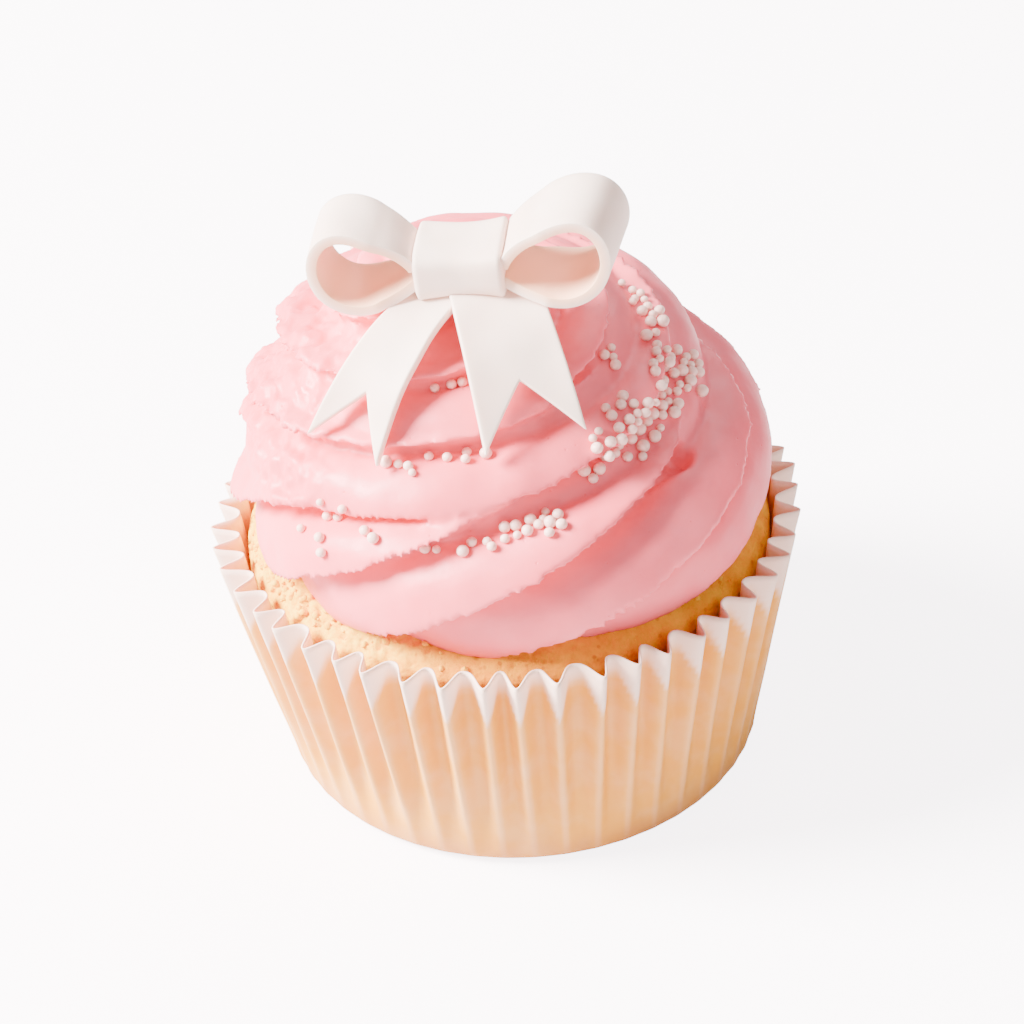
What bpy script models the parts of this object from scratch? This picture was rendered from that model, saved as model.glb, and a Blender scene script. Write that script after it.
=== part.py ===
"""A cupcake: sponge in a fluted paper case, a piped buttercream swirl and a fondant bow.

Metres, +Z up. The origin is the middle of the case's base, on the surface it stands on.
+X is to the right and -Y to the front, the side that the bow's tails hang over.
"""

import math

import bmesh
import bpy
import numpy as np
from mathutils import Vector
from mathutils.bvhtree import BVHTree

MM = 0.001
GAP = 0.35 * MM

# Paper case
FLUTES = 48
COLUMNS_PER_FLUTE = 6
FLUTE_TURN = math.radians(-89.6)
CASE_HEIGHT = 28.0 * MM
BASE_RADIUS = 25.0 * MM
BASE_ROUNDING = 1.6 * MM
RIM_FOLD_OUT = 31.1 * MM
RIM_FOLD_IN = 28.3 * MM
RIM_CENTRE_X = -0.6 * MM
PAPER = 0.4 * MM
FOLDS_FULL = 0.12

# Sponge
SPONGE_EDGE_Z = 25.6 * MM
SPONGE_RISE = 4.8 * MM
SPONGE_SHOULDER = 6
SPONGE_SIDES = 64

# Buttercream rope: turn in degrees, path radius, rope radius, height and sideways lean in millimetres
TEETH = 7
TOOTH_DEPTH = 0.24
TOOTH_LEAN = math.radians(9)
ROPE_PATH = (
    (95, 17.2, 9.2, 35.2, -0.4),
    (180, 18.5, 10.2, 35.7, -0.5),
    (360, 18.2, 10.0, 35.6, -0.8),
    (450, 16.6, 9.2, 37.6, -1.6),
    (540, 16.2, 8.9, 41.0, -2.6),
    (720, 15.6, 8.3, 43.9, -3.2),
    (790, 15.6, 8.2, 45.4, -3.2),
    (900, 12.4, 7.8, 46.8, -4.1),
    (1080, 11.6, 7.4, 48.8, -4.6),
    (1260, 7.4, 6.6, 51.2, -5.6),
    (1440, 6.0, 5.8, 53.2, -6.2),
    (1620, 3.6, 4.6, 55.4, -7.2),
    (1740, 1.4, 3.0, 57.2, -8.8),
)
# Turn in degrees and the number of teeth that have passed the outermost point of the rope
TOOTH_PHASE = ((95, -2.5), (186, 0), (293, 3), (349, 4), (450, 6.4), (690, 9), (1040, 12), (1740, 18))
PATH_STEP = 7.5
ROPE_START = Vector((6.0, 0.0, -1.0)) * MM
PEAK = Vector((-9.3, 1.6, 62.0)) * MM
# Height, radius and sideways lean of the core that fills the swirl's middle, in millimetres
CORE = ((29.0, 22.0, -0.6), (40.0, 19.0, -1.2), (50.0, 11.0, -4.6), (57.0, 4.0, -7.6))
CORE_SIDES = 24
SWIRL_VOXEL = 0.85 * MM
SWIRL_TRIANGLES = 3000

# Fondant bow: a ribbon whose width runs from front to back
RIBBON = 9.4 * MM
FONDANT = 1.4 * MM
BOW_CENTRE = Vector((-3.4, -6.2, 62.8)) * MM
BOW_TURN = math.radians(-8)
BOW_ROLL = math.radians(4)
KNOT_WIDTH = 9.0 * MM
KNOT_HEIGHT = 5.7 * MM
LOOP_CLEARANCE = 0.9
# Side, reach, height, lift and backward splay of each loop, in millimetres
LOOPS = {
    "bow_loop_left": (-1, 9.9, 10.4, 2.2, 0.0),
    "bow_loop_right": (1, 9.6, 11.4, 1.6, 0.12),
}
# Drape points, widths at both ends, share cut out by the notch, and turn in degrees at both ends
TAILS = {
    "bow_tail_left": (
        ((-8.0, -10.4, 58.4), (-10.8, -13.9, 57.9), (-16.2, -17.2, 48.8)), (6.4, 8.6), 0.4, (-32, -40),
    ),
    "bow_tail_right": (
        ((-0.1, -10.2, 59.3), (0.8, -15.0, 58.6), (2.8, -20.0, 49.8)), (9.2, 9.8), 0.4, (4, 9),
    ),
}
LOOP_STATIONS = 26
TAIL_STATIONS = 10


def clear_scene():
    for item in list(bpy.data.objects):
        bpy.data.objects.remove(item, do_unlink=True)


def material(name, color, roughness):
    made = bpy.data.materials.new(name)
    made.use_nodes = True
    shader = made.node_tree.nodes["Principled BSDF"]
    shader.inputs["Base Color"].default_value = (*color, 1.0)
    shader.inputs["Roughness"].default_value = roughness
    shader.inputs["Metallic"].default_value = 0.0
    made.diffuse_color = (*color, 1.0)
    return made


def add_mesh(name, points, faces, look, sharp_degrees=50):
    mesh = bpy.data.meshes.new(name)
    mesh.from_pydata([tuple(p) for p in points], [], [tuple(f) for f in faces])
    mesh.update()
    outward(mesh)
    mesh.shade_smooth()
    mesh.set_sharp_from_angle(angle=math.radians(sharp_degrees))
    made = bpy.data.objects.new(name, mesh)
    made.data.materials.append(look)
    bpy.context.scene.collection.objects.link(made)
    return made


def outward(mesh):
    """Turns every face of a closed mesh outwards."""
    work = bmesh.new()
    work.from_mesh(mesh)
    bmesh.ops.recalc_face_normals(work, faces=work.faces)
    work.to_mesh(mesh)
    work.free()


def through(knots, x):
    """A smooth curve through the knots, read at x: columns of values after the first column."""
    table = np.array(knots, float)
    t, values = table[:, 0], table[:, 1:]
    slopes = np.gradient(values, t, axis=0)
    x = np.clip(x, t[0], t[-1])
    i = int(np.clip(np.searchsorted(t, x) - 1, 0, len(t) - 2))
    span = t[i + 1] - t[i]
    s = (x - t[i]) / span
    a = values[i] * (1 + 2 * s) * (1 - s) ** 2 + values[i + 1] * s * s * (3 - 2 * s)
    return a + span * (slopes[i] * s * (1 - s) ** 2 - slopes[i + 1] * s * s * (1 - s))


# ---- Paper case -----------------------------------------------------------------------------


def case_radii(z):
    """Radii of the outward and inward folds of the paper at a height."""
    t = z / CASE_HEIGHT
    grow = min(1.0, t / FOLDS_FULL)
    fold_out = BASE_RADIUS + (RIM_FOLD_OUT - BASE_RADIUS) * t
    fold_in = BASE_RADIUS - 0.5 * MM * grow + (RIM_FOLD_IN + 0.5 * MM - BASE_RADIUS) * t
    if z < BASE_ROUNDING:
        tuck = BASE_ROUNDING - math.sqrt(BASE_ROUNDING**2 - (BASE_ROUNDING - z) ** 2)
        fold_out -= tuck
        fold_in -= tuck
    return fold_out, fold_in


def case_ring(z, inset):
    """One level of the paper: narrow outward folds and wide, round inward ones."""
    fold_out, fold_in = case_radii(max(z, 0.0))
    centre_x = RIM_CENTRE_X * z / CASE_HEIGHT
    ring = []
    for i in range(FLUTES * COLUMNS_PER_FLUTE):
        phase = 2 * math.pi * i / COLUMNS_PER_FLUTE
        angle = FLUTE_TURN + 2 * math.pi * i / (FLUTES * COLUMNS_PER_FLUTE)
        blend = (0.5 + 0.5 * math.cos(phase)) ** 1.25
        radius = fold_in + (fold_out - fold_in) * blend - inset
        ring.append((centre_x + radius * math.cos(angle), radius * math.sin(angle), z))
    return ring


def bridge(faces, low, high, count):
    for i in range(count):
        j = (i + 1) % count
        faces.append((low + i, low + j, high + j, high + i))


def paper_case(look):
    outer = [0.0, BASE_ROUNDING, FOLDS_FULL * CASE_HEIGHT, CASE_HEIGHT]
    inner = [CASE_HEIGHT, FOLDS_FULL * CASE_HEIGHT, BASE_ROUNDING]
    points = []
    for z in outer:
        points += case_ring(z, 0.0)
    for z in inner:
        points += case_ring(z, PAPER)
    count = FLUTES * COLUMNS_PER_FLUTE
    levels = len(outer) + len(inner)
    faces = []
    for level in range(levels - 1):
        bridge(faces, level * count, (level + 1) * count, count)
    points += [(0.0, 0.0, 0.0), (0.0, 0.0, PAPER)]
    floor_ring = len(points)
    points += [(x * 0.97, y * 0.97, PAPER) for x, y, _ in points[(levels - 1) * count : levels * count]]
    bridge(faces, (levels - 1) * count, floor_ring, count)
    for i in range(count):
        j = (i + 1) % count
        faces.append((levels * count, j, i))
        faces.append((levels * count + 1, floor_ring + i, floor_ring + j))
    return add_mesh("paper_case", points, faces, look, 35)


# ---- Sponge ---------------------------------------------------------------------------------


def sponge_edge_radius():
    return case_radii(SPONGE_EDGE_Z)[1] - PAPER - GAP


def sponge_top(radius):
    """Height of the sponge's domed top at a radius."""
    share = min(1.0, radius / sponge_edge_radius())
    return SPONGE_EDGE_Z + SPONGE_RISE * math.sqrt(1 - share**SPONGE_SHOULDER)


def sponge_profile():
    """Radius and height from the middle of the base, up the side and over the dome."""
    profile = []
    for z in (BASE_ROUNDING, FOLDS_FULL * CASE_HEIGHT):
        profile.append((case_radii(z)[1] - PAPER - GAP - 0.05 * MM, max(z, PAPER + GAP)))
    edge = sponge_edge_radius()
    for share in (1.0, 0.985, 0.95, 0.85, 0.6):
        profile.append((edge * share, sponge_top(edge * share)))
    return profile


def sponge(look):
    profile = [(23.0 * MM, PAPER + GAP)] + sponge_profile()
    points = []
    for radius, z in profile:
        shift = RIM_CENTRE_X * z / CASE_HEIGHT
        for i in range(SPONGE_SIDES):
            angle = 2 * math.pi * i / SPONGE_SIDES
            points.append((shift + radius * math.cos(angle), radius * math.sin(angle), z))
    faces = []
    for level in range(len(profile) - 1):
        bridge(faces, level * SPONGE_SIDES, (level + 1) * SPONGE_SIDES, SPONGE_SIDES)
    last = (len(profile) - 1) * SPONGE_SIDES
    points += [(0.0, 0.0, PAPER + GAP), (RIM_CENTRE_X, 0.0, sponge_top(0.0))]
    for i in range(SPONGE_SIDES):
        j = (i + 1) % SPONGE_SIDES
        faces.append((len(points) - 2, j, i))
        faces.append((len(points) - 1, last + i, last + j))
    return add_mesh("sponge", points, faces, look, 60)


# ---- Buttercream swirl ----------------------------------------------------------------------

# Tooth outline: distance along the tooth from its crest, and how far down its depth
TOOTH = ((0.0, 0.0), (0.1, 0.04), (0.3, 0.2), (0.52, 0.48), (0.72, 0.82), (0.86, 1.0), (0.94, 0.72))


def rope_station(turn):
    """One section of the rope, as points round it that stay on the teeth as the rope twists."""
    path_radius, rope_radius, height, lean = through(ROPE_PATH, turn) * MM
    twist = 2 * math.pi / TEETH * through(TOOTH_PHASE, turn)[0]
    out = Vector((math.cos(math.radians(turn)), math.sin(math.radians(turn)), 0.0))
    centre = Vector((lean, 0.0, height)) + out * path_radius
    section = []
    for tooth in range(TEETH):
        for along, depth in TOOTH:
            angle = twist + 2 * math.pi * (tooth + along) / TEETH
            angle -= TOOTH_LEAN * (1 - depth) ** 3
            radius = rope_radius * (1 - TOOTH_DEPTH * depth)
            section.append(centre + out * radius * math.cos(angle) + Vector((0, 0, radius * math.sin(angle))))
    return section, centre


def add_tube(work, rings, ends):
    """A closed tube through rings of points, with a fan at each end."""
    rows = [[work.verts.new(p) for p in ring] for ring in rings]
    count = len(rows[0])
    for low, high in zip(rows, rows[1:]):
        for i in range(count):
            j = (i + 1) % count
            work.faces.new((low[i], low[j], high[j], high[i]))
    for row, end in zip((rows[0], rows[-1]), ends):
        tip = work.verts.new(end)
        for i in range(count):
            work.faces.new((row[i], row[(i + 1) % count], tip))


def rope_tube(work):
    turns = np.arange(ROPE_PATH[0][0], ROPE_PATH[-1][0] + 0.1, PATH_STEP)
    rings = [rope_station(turn)[0] for turn in turns]
    start = rope_station(turns[0])[1] + ROPE_START
    add_tube(work, rings, (start, PEAK))


def core_tube(work):
    """Fills the middle of the swirl, where the rope's turns leave room."""
    rings = []
    for height, radius, shift in CORE:
        ring = []
        for i in range(CORE_SIDES):
            angle = 2 * math.pi * i / CORE_SIDES
            ring.append(Vector((shift + radius * math.cos(angle), radius * math.sin(angle), height)) * MM)
        rings.append(ring)
    low, high = CORE[0], CORE[-1]
    add_tube(work, rings, (Vector((low[2], 0, low[0])) * MM, Vector((high[2], 0, high[0] + 1)) * MM))


def evaluated_mesh(item):
    graph = bpy.context.evaluated_depsgraph_get()
    return bpy.data.meshes.new_from_object(item.evaluated_get(graph))


def united(name, mesh, voxel, triangles, shape):
    """The union of overlapping tubes as one skin, shaped and then thinned to about so many triangles."""
    item = bpy.data.objects.new(name, mesh)
    bpy.context.scene.collection.objects.link(item)
    remesh = item.modifiers.new("Union", "REMESH")
    remesh.mode = "VOXEL"
    remesh.voxel_size = voxel
    smooth = item.modifiers.new("Ease", "SMOOTH")
    smooth.factor = 0.4
    smooth.iterations = 1
    bpy.context.view_layer.update()
    skin = evaluated_mesh(item)
    item.modifiers.clear()
    item.data = skin
    keep_largest(skin)
    for vert in skin.vertices:
        vert.co = shape(vert.co.copy(), 0.6 * MM)
    thin = item.modifiers.new("Thin", "DECIMATE")
    thin.ratio = triangles / (2 * len(skin.polygons))
    bpy.context.view_layer.update()
    skin = evaluated_mesh(item)
    bpy.data.objects.remove(item, do_unlink=True)
    return skin


def keep_largest(mesh):
    """Drops loose scraps, so that one body is left."""
    work = bmesh.new()
    work.from_mesh(mesh)
    left = set(work.verts)
    bodies = []
    while left:
        body, front = set(), [left.pop()]
        while front:
            vert = front.pop()
            body.add(vert)
            for edge in vert.link_edges:
                other = edge.other_vert(vert)
                if other in left:
                    left.remove(other)
                    front.append(other)
        bodies.append(body)
    bodies.sort(key=len)
    scraps = [vert for body in bodies[:-1] for vert in body]
    bmesh.ops.delete(work, geom=scraps, context="VERTS")
    work.to_mesh(mesh)
    work.free()


def pressed_height(point, tree, clearance, reach):
    """The greatest height that leaves the clearance under the bow, looking a little to each side."""
    height = point.z
    for dx, dy in ((0, 0), (reach, 0), (-reach, 0), (0, reach), (0, -reach)):
        foot = Vector((point.x + dx, point.y + dy, CASE_HEIGHT))
        place = tree.ray_cast(foot, Vector((0, 0, 1)))[0]
        if place is not None:
            height = min(height, place.z - clearance)
    return height


def bow_tree(pieces):
    """The bow's faces in one search tree."""
    points, faces = [], []
    for piece in pieces:
        first = len(points)
        points += [vert.co.copy() for vert in piece.data.vertices]
        faces += [[first + i for i in polygon.vertices] for polygon in piece.data.polygons]
    return BVHTree.FromPolygons(points, faces)


def buttercream(look, bow):
    work = bmesh.new()
    rope_tube(work)
    core_tube(work)
    bmesh.ops.recalc_face_normals(work, faces=work.faces)
    rough = bpy.data.meshes.new("rope")
    work.to_mesh(rough)
    work.free()
    tree = bow_tree(bow)

    def shaped(point, clearance):
        """Pressed down under the bow and flattened onto the sponge."""
        point.z = pressed_height(point, tree, clearance, 0.8 * MM)
        radius = math.hypot(point.x - RIM_CENTRE_X, point.y)
        point.z = max(point.z, sponge_top(radius) + GAP)
        return point

    skin = united("swirl_skin", rough, SWIRL_VOXEL, SWIRL_TRIANGLES, shaped)
    for vert in skin.vertices:
        vert.co = shaped(vert.co.copy(), 0.5 * MM)
    points = [vert.co.copy() for vert in skin.vertices]
    faces = [tuple(polygon.vertices) for polygon in skin.polygons]
    return add_mesh("buttercream_swirl", points, faces, look, 70)


# ---- Fondant bow ----------------------------------------------------------------------------


def bow_place(x, y, z):
    """A point of the bow's own frame, in millimetres from its centre, in the cupcake's frame."""
    c, s = math.cos(BOW_ROLL), math.sin(BOW_ROLL)
    x, z = x * c - z * s, x * s + z * c
    c, s = math.cos(BOW_TURN), math.sin(BOW_TURN)
    return BOW_CENTRE + Vector((x * c - y * s, x * s + y * c, z)) * MM


def ribbon_mesh(name, sections, look):
    """A body through sections of four corners each, front and back, outer and inner."""
    points = [corner for section in sections for corner in section]
    faces = []
    for i in range(len(sections) - 1):
        bridge(faces, 4 * i, 4 * (i + 1), 4)
    last = 4 * (len(sections) - 1)
    faces += [(3, 2, 1, 0), (last, last + 1, last + 2, last + 3)]
    return add_mesh(name, points, faces, look, 40)


def loop_outline(side, length, height, lift):
    """Centre line of a loop in the bow's upright plane: out along the top and back underneath."""
    line = []
    for i in range(LOOP_STATIONS + 1):
        t = 2 * math.pi * i / LOOP_STATIONS
        swell = max(0.0, math.sin(t / 2)) ** 0.7
        x = length * 0.5 * (1 - math.cos(t))
        z = height * 0.5 * math.sin(t) * swell + lift * (x / length) ** 0.6
        line.append((side * x, z))
    return line


def bow_loop(name, side, length, height, lift, splay, look):
    line = loop_outline(side, length, height, lift)
    start = side * (KNOT_WIDTH / MM / 2 + LOOP_CLEARANCE)
    half = RIBBON / MM / 2
    thick = FONDANT / MM
    sections = []
    for i, (x, z) in enumerate(line):
        before, after = line[max(i - 1, 0)], line[min(i + 1, len(line) - 1)]
        along = Vector((after[0] - before[0], after[1] - before[1])).normalized()
        normal = Vector((-along.y, along.x)) * (-side * thick / 2)
        spread = abs(x) / length
        narrow = half * (0.72 + 0.28 * min(1.0, spread * 2.5))
        layer = 0.72 if i < len(line) / 2 else -0.72
        pinch = (1 - min(1.0, spread * 3)) * layer
        corners = []
        for depth, offset in ((-narrow, 1), (narrow, 1), (narrow, -1), (-narrow, -1)):
            lean = splay * spread * (depth + half)
            corners.append(
                bow_place(start + x + normal.x * offset + lean, depth, z + pinch + normal.y * offset)
            )
        sections.append(corners)
    return ribbon_mesh(name, sections, look)


def bow_knot(look):
    """A band round the bow's middle: a rounded block, a little waisted."""
    rings = []
    half_w, half_h, half_d = KNOT_WIDTH / MM / 2, KNOT_HEIGHT / MM / 2, RIBBON / MM / 2 - 0.4
    for share in (-1.0, -0.93, -0.6, 0.0, 0.6, 0.93, 1.0):
        ease = 0.5 if abs(share) == 1.0 else 0.0
        waist = 0.35 * (1 - share * share)
        ring = []
        for i in range(24):
            angle = 2 * math.pi * (i + 0.5) / 24
            c, s = math.cos(angle), math.sin(angle)
            y = math.copysign(abs(c) ** 0.45, c) * (half_d - ease - waist * 0.6)
            z = math.copysign(abs(s) ** 0.55, s) * (half_h - ease - waist)
            ring.append(bow_place(share * half_w, y, z))
        rings.append(ring)
    work = bmesh.new()
    add_tube(work, rings, (bow_place(-half_w, 0, 0), bow_place(half_w, 0, 0)))
    mesh = bpy.data.meshes.new("bow_knot")
    work.to_mesh(mesh)
    work.free()
    points = [vert.co.copy() for vert in mesh.vertices]
    faces = [tuple(polygon.vertices) for polygon in mesh.polygons]
    return add_mesh("bow_knot", points, faces, look, 50)


def tail_section(drape, t, across, angles, half):
    """A point on the ribbon's middle layer, and the direction that its face looks in."""
    a, b, c = drape
    centre = a * (1 - t) ** 2 + b * 2 * t * (1 - t) + c * t * t
    along = ((b - a) * (1 - t) + (c - b) * t).normalized()
    angle = angles[0] + (angles[1] - angles[0]) * t
    side = Vector((math.cos(angle), math.sin(angle), 0.12 * math.sin(angle)))
    side = (side - along * side.dot(along)).normalized()
    up = side.cross(along).normalized()
    return centre + side * half * across, -up if up.z < 0 else up


def bow_tail(name, drape_points, widths, notch, turns, look):
    """A ribbon end that drapes down the swirl and ends in a swallowtail."""
    drape = tuple(Vector(p) * MM for p in drape_points)
    angles = tuple(math.radians(turn) for turn in turns)
    points, faces = [], []
    columns = 4
    for i in range(TAIL_STATIONS + 1):
        for layer in (0.5, -0.5):
            for j in range(columns + 1):
                across = 2 * j / columns - 1
                t = i / TAIL_STATIONS * (1 - notch * (1 - abs(across)))
                half = (widths[0] + (widths[1] - widths[0]) * t) * MM / 2
                place, up = tail_section(drape, t, across, angles, half)
                points.append(place + up * (layer * FONDANT))
    row = 2 * (columns + 1)
    for i in range(TAIL_STATIONS):
        for j in range(columns):
            top, under = i * row + j, i * row + columns + 1 + j
            faces.append((top, top + 1, top + 1 + row, top + row))
            faces.append((under, under + row, under + 1 + row, under + 1))
        for edge in (0, columns):
            top, under = i * row + edge, i * row + columns + 1 + edge
            faces.append((top, top + row, under + row, under))
    for base in (0, TAIL_STATIONS * row):
        for j in range(columns):
            top, under = base + j, base + columns + 1 + j
            faces.append((top, under, under + 1, top + 1))
    return add_mesh(name, points, faces, look, 40)


def bow(look):
    pieces = [bow_knot(look)]
    for name, sizes in LOOPS.items():
        pieces.append(bow_loop(name, *sizes, look))
    for name, sizes in TAILS.items():
        pieces.append(bow_tail(name, *sizes, look))
    return pieces


def main():
    clear_scene()
    paper_case(material("paper", (0.9, 0.84, 0.76), 0.75))
    sponge(material("sponge", (0.86, 0.58, 0.24), 0.85))
    fondant = material("fondant", (0.92, 0.9, 0.87), 0.5)
    pieces = bow(fondant)
    buttercream(material("buttercream", (0.9, 0.52, 0.55), 0.5), pieces)


main()
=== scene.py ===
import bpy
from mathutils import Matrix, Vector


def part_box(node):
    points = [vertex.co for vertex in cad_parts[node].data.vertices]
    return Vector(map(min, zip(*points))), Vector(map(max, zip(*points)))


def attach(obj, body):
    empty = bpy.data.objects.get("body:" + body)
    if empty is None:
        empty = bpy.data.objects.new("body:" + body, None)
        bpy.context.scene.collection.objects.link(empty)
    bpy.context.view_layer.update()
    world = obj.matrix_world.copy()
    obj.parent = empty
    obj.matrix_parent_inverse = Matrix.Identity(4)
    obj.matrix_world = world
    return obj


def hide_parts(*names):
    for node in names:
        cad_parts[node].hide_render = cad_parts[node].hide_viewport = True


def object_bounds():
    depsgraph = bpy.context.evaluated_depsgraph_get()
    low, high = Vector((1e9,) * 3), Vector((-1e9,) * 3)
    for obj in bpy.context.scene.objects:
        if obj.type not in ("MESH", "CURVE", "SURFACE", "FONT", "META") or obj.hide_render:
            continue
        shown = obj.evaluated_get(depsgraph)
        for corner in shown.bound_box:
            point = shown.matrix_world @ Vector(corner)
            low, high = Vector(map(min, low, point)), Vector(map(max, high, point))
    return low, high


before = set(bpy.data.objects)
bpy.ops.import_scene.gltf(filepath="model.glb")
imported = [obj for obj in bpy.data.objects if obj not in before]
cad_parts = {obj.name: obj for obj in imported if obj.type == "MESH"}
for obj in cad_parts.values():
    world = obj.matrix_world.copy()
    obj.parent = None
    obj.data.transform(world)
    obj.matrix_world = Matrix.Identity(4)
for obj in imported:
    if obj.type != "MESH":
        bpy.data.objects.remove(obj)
CAD_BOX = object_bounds()

"""The looks of the cupcake: paper case, sponge, piped buttercream, fondant bow and sugar sprinkles."""

import math
import random

import bmesh
import bpy
import numpy as np
from mathutils import Matrix, Vector, noise
from mathutils.bvhtree import BVHTree

MM = 0.001
BODY = "root"

# ---- Sizes read from the frame ----------------------------------------------------------------

CASE_LOW, CASE_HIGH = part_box("paper_case")
CASE_HEIGHT = CASE_HIGH[2] - CASE_LOW[2]
SPONGE_LOW, SPONGE_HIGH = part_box("sponge")
KNOT_LOW, KNOT_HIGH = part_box("bow_knot")

# ---- Paper case -------------------------------------------------------------------------------

FLUTES = 48
FLUTE_TURN = math.radians(-89.6)
BASE_RADIUS = 25.0 * MM
BASE_ROUNDING = 1.6 * MM
RIM_FOLD_OUT = 31.1 * MM
RIM_FOLD_IN = 28.3 * MM
RIM_CENTRE_X = -0.6 * MM
FOLDS_FULL = 0.12
PAPER = 0.16 * MM
CASE_COLUMNS = 18
CASE_ROWS = 30

# ---- Sponge -----------------------------------------------------------------------------------

SPONGE_RISE = 4.8 * MM
SPONGE_EDGE_Z = SPONGE_HIGH[2] - SPONGE_RISE
SPONGE_SHOULDER = 6
SPONGE_COLUMNS = 620

# ---- Buttercream: turn in degrees, path radius, rope radius, height and lean in millimetres ------

TEETH = 7
TOOTH_DEPTH = 0.37
TOOTH_LEAN = math.radians(11)
TOOTH_COLUMNS = 16
ROPE_PATH = (
    (95, 17.2, 9.2, 35.2, -0.4),
    (180, 18.5, 10.2, 35.7, -0.5),
    (360, 18.2, 10.0, 35.6, -0.8),
    (450, 16.6, 9.2, 37.6, -1.6),
    (540, 16.2, 8.9, 41.0, -2.6),
    (720, 15.6, 8.3, 43.9, -3.2),
    (790, 15.6, 8.2, 45.4, -3.2),
    (900, 12.4, 7.8, 46.8, -4.1),
    (1080, 11.6, 7.4, 48.8, -4.6),
    (1260, 7.4, 6.6, 51.2, -5.6),
    (1440, 6.0, 5.8, 53.2, -6.2),
    (1620, 3.6, 4.6, 55.4, -7.2),
    (1740, 1.4, 3.0, 57.2, -8.8),
)
TOOTH_PHASE = ((95, -2.5), (186, 0), (293, 3), (349, 4), (450, 6.4), (690, 9), (1040, 12), (1740, 18))
PATH_STEP = 2.0
ROPE_START = Vector((6.0, 0.0, -1.0)) * MM
PEAK = Vector((-9.3, 1.6, 62.0)) * MM
CORE = ((29.0, 22.0, -0.6), (40.0, 19.0, -1.2), (50.0, 11.0, -4.6), (57.0, 4.0, -7.6))
SERRATED_SIDE = math.radians(25)
SWIRL_VOXEL = 0.36 * MM
PRESSED_ABOVE = 17.0 * MM
POCKETS = (
    ((16.3, -13.0, 41.3), (12.0, -18.2, 39.8), 2.7, 2.6),
    ((1.5, -23.4, 43.4), (6.0, -22.6, 43.8), 0.7, 1.3),
)

# ---- Bow --------------------------------------------------------------------------------------

RIBBON = 9.4 * MM
FONDANT = 1.05 * MM
BOW_CENTRE = (Vector(KNOT_LOW) + Vector(KNOT_HIGH)) / 2
BOW_TURN = math.radians(-8)
BOW_ROLL = math.radians(4)
KNOT_WIDTH = 9.0 * MM
KNOT_HEIGHT = 5.7 * MM
LOOPS = {
    "left": (-1, 9.9, 10.0, 2.0, 0.0, 3.2),
    "right": (1, 10.4, 10.4, 2.0, 0.12, 4.7),
}
TAILS = {
    "left": (((-5.4, -8.0, 60.2), (-11.6, -13.6, 59.0), (-16.2, -17.2, 48.3)), (4.6, 8.2), 0.28, (-24, -24), 0.16),
    "right": (((-0.9, -7.6, 60.8), (0.5, -14.6, 60.2), (2.6, -20.0, 49.7)), (8.6, 10.3), 0.29, (4, 9), 0.0),
}

# ---- Sprinkles: turn in degrees, height in millimetres, spread in both and number ---------------

CLUSTERS = (
    (18, 50.0, 3.0, 0.5, 6), (9, 49.4, 4.0, 0.9, 10), (348, 48.6, 5.0, 0.8, 12), (350, 46.6, 6.0, 0.8, 14),
    (331, 46.8, 5.0, 0.6, 14), (321, 47.0, 5.0, 0.9, 18), (310, 46.4, 4.5, 0.8, 12), (299, 45.5, 2.5, 0.5, 3),
    (284, 43.2, 1.8, 0.4, 10), (277, 43.0, 3.0, 0.5, 5), (269, 42.3, 3.5, 0.6, 4), (259, 41.2, 4.0, 0.7, 3),
    (236, 42.6, 9.0, 0.8, 6), (227, 40.4, 6.0, 0.9, 3), (250, 47.6, 6.0, 0.6, 4), (266, 48.6, 7.0, 0.3, 5),
    (271, 53.7, 6.0, 0.3, 3), (331, 51.4, 3.0, 0.7, 4), (120, 47.0, 16.0, 2.0, 5), (70, 46.0, 18.0, 2.0, 7),
)
SPRINKLE_RADII = (0.40, 0.66)

# ---- Light --------------------------------------------------------------------------------------

FLOOR_GLOW = 5.8


# ---- Helpers ----------------------------------------------------------------------------------


def through(knots, x):
    """A smooth curve through the knots, read at each x: one row of values for each."""
    table = np.array(knots, float)
    t, values = table[:, 0], table[:, 1:]
    slopes = np.gradient(values, t, axis=0)
    x = np.clip(np.asarray(x, float), t[0], t[-1])
    i = np.clip(np.searchsorted(t, x) - 1, 0, len(t) - 2)
    span = t[i + 1] - t[i]
    s = ((x - t[i]) / span)[:, None]
    span = span[:, None]
    low, high = values[i], values[i + 1]
    smooth = low * (1 + 2 * s) * (1 - s) ** 2 + high * s * s * (3 - 2 * s)
    return smooth + span * (slopes[i] * s * (1 - s) ** 2 - slopes[i + 1] * s * s * (1 - s))


def step(low, high, x):
    """Smooth step from 0 at low to 1 at high."""
    t = min(1.0, max(0.0, (x - low) / (high - low)))
    return t * t * (3 - 2 * t)


def grid_faces(rows, columns, start=0):
    """Quads between rows of points that close round."""
    faces = []
    for r in range(rows - 1):
        for c in range(columns):
            d = (c + 1) % columns
            low, high = start + r * columns, start + (r + 1) * columns
            faces.append((low + c, low + d, high + d, high + c))
    return faces


def fan(ring_start, columns, tip, flip):
    faces = []
    for c in range(columns):
        pair = (ring_start + c, ring_start + (c + 1) % columns)
        faces.append((tip, *(pair[::-1] if flip else pair)))
    return faces


def add_piece(name, points, faces, look, attributes=None):
    mesh = bpy.data.meshes.new(name)
    mesh.from_pydata([tuple(p) for p in points], [], faces)
    mesh.update()
    return add_object(name, mesh, look, attributes)


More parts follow.
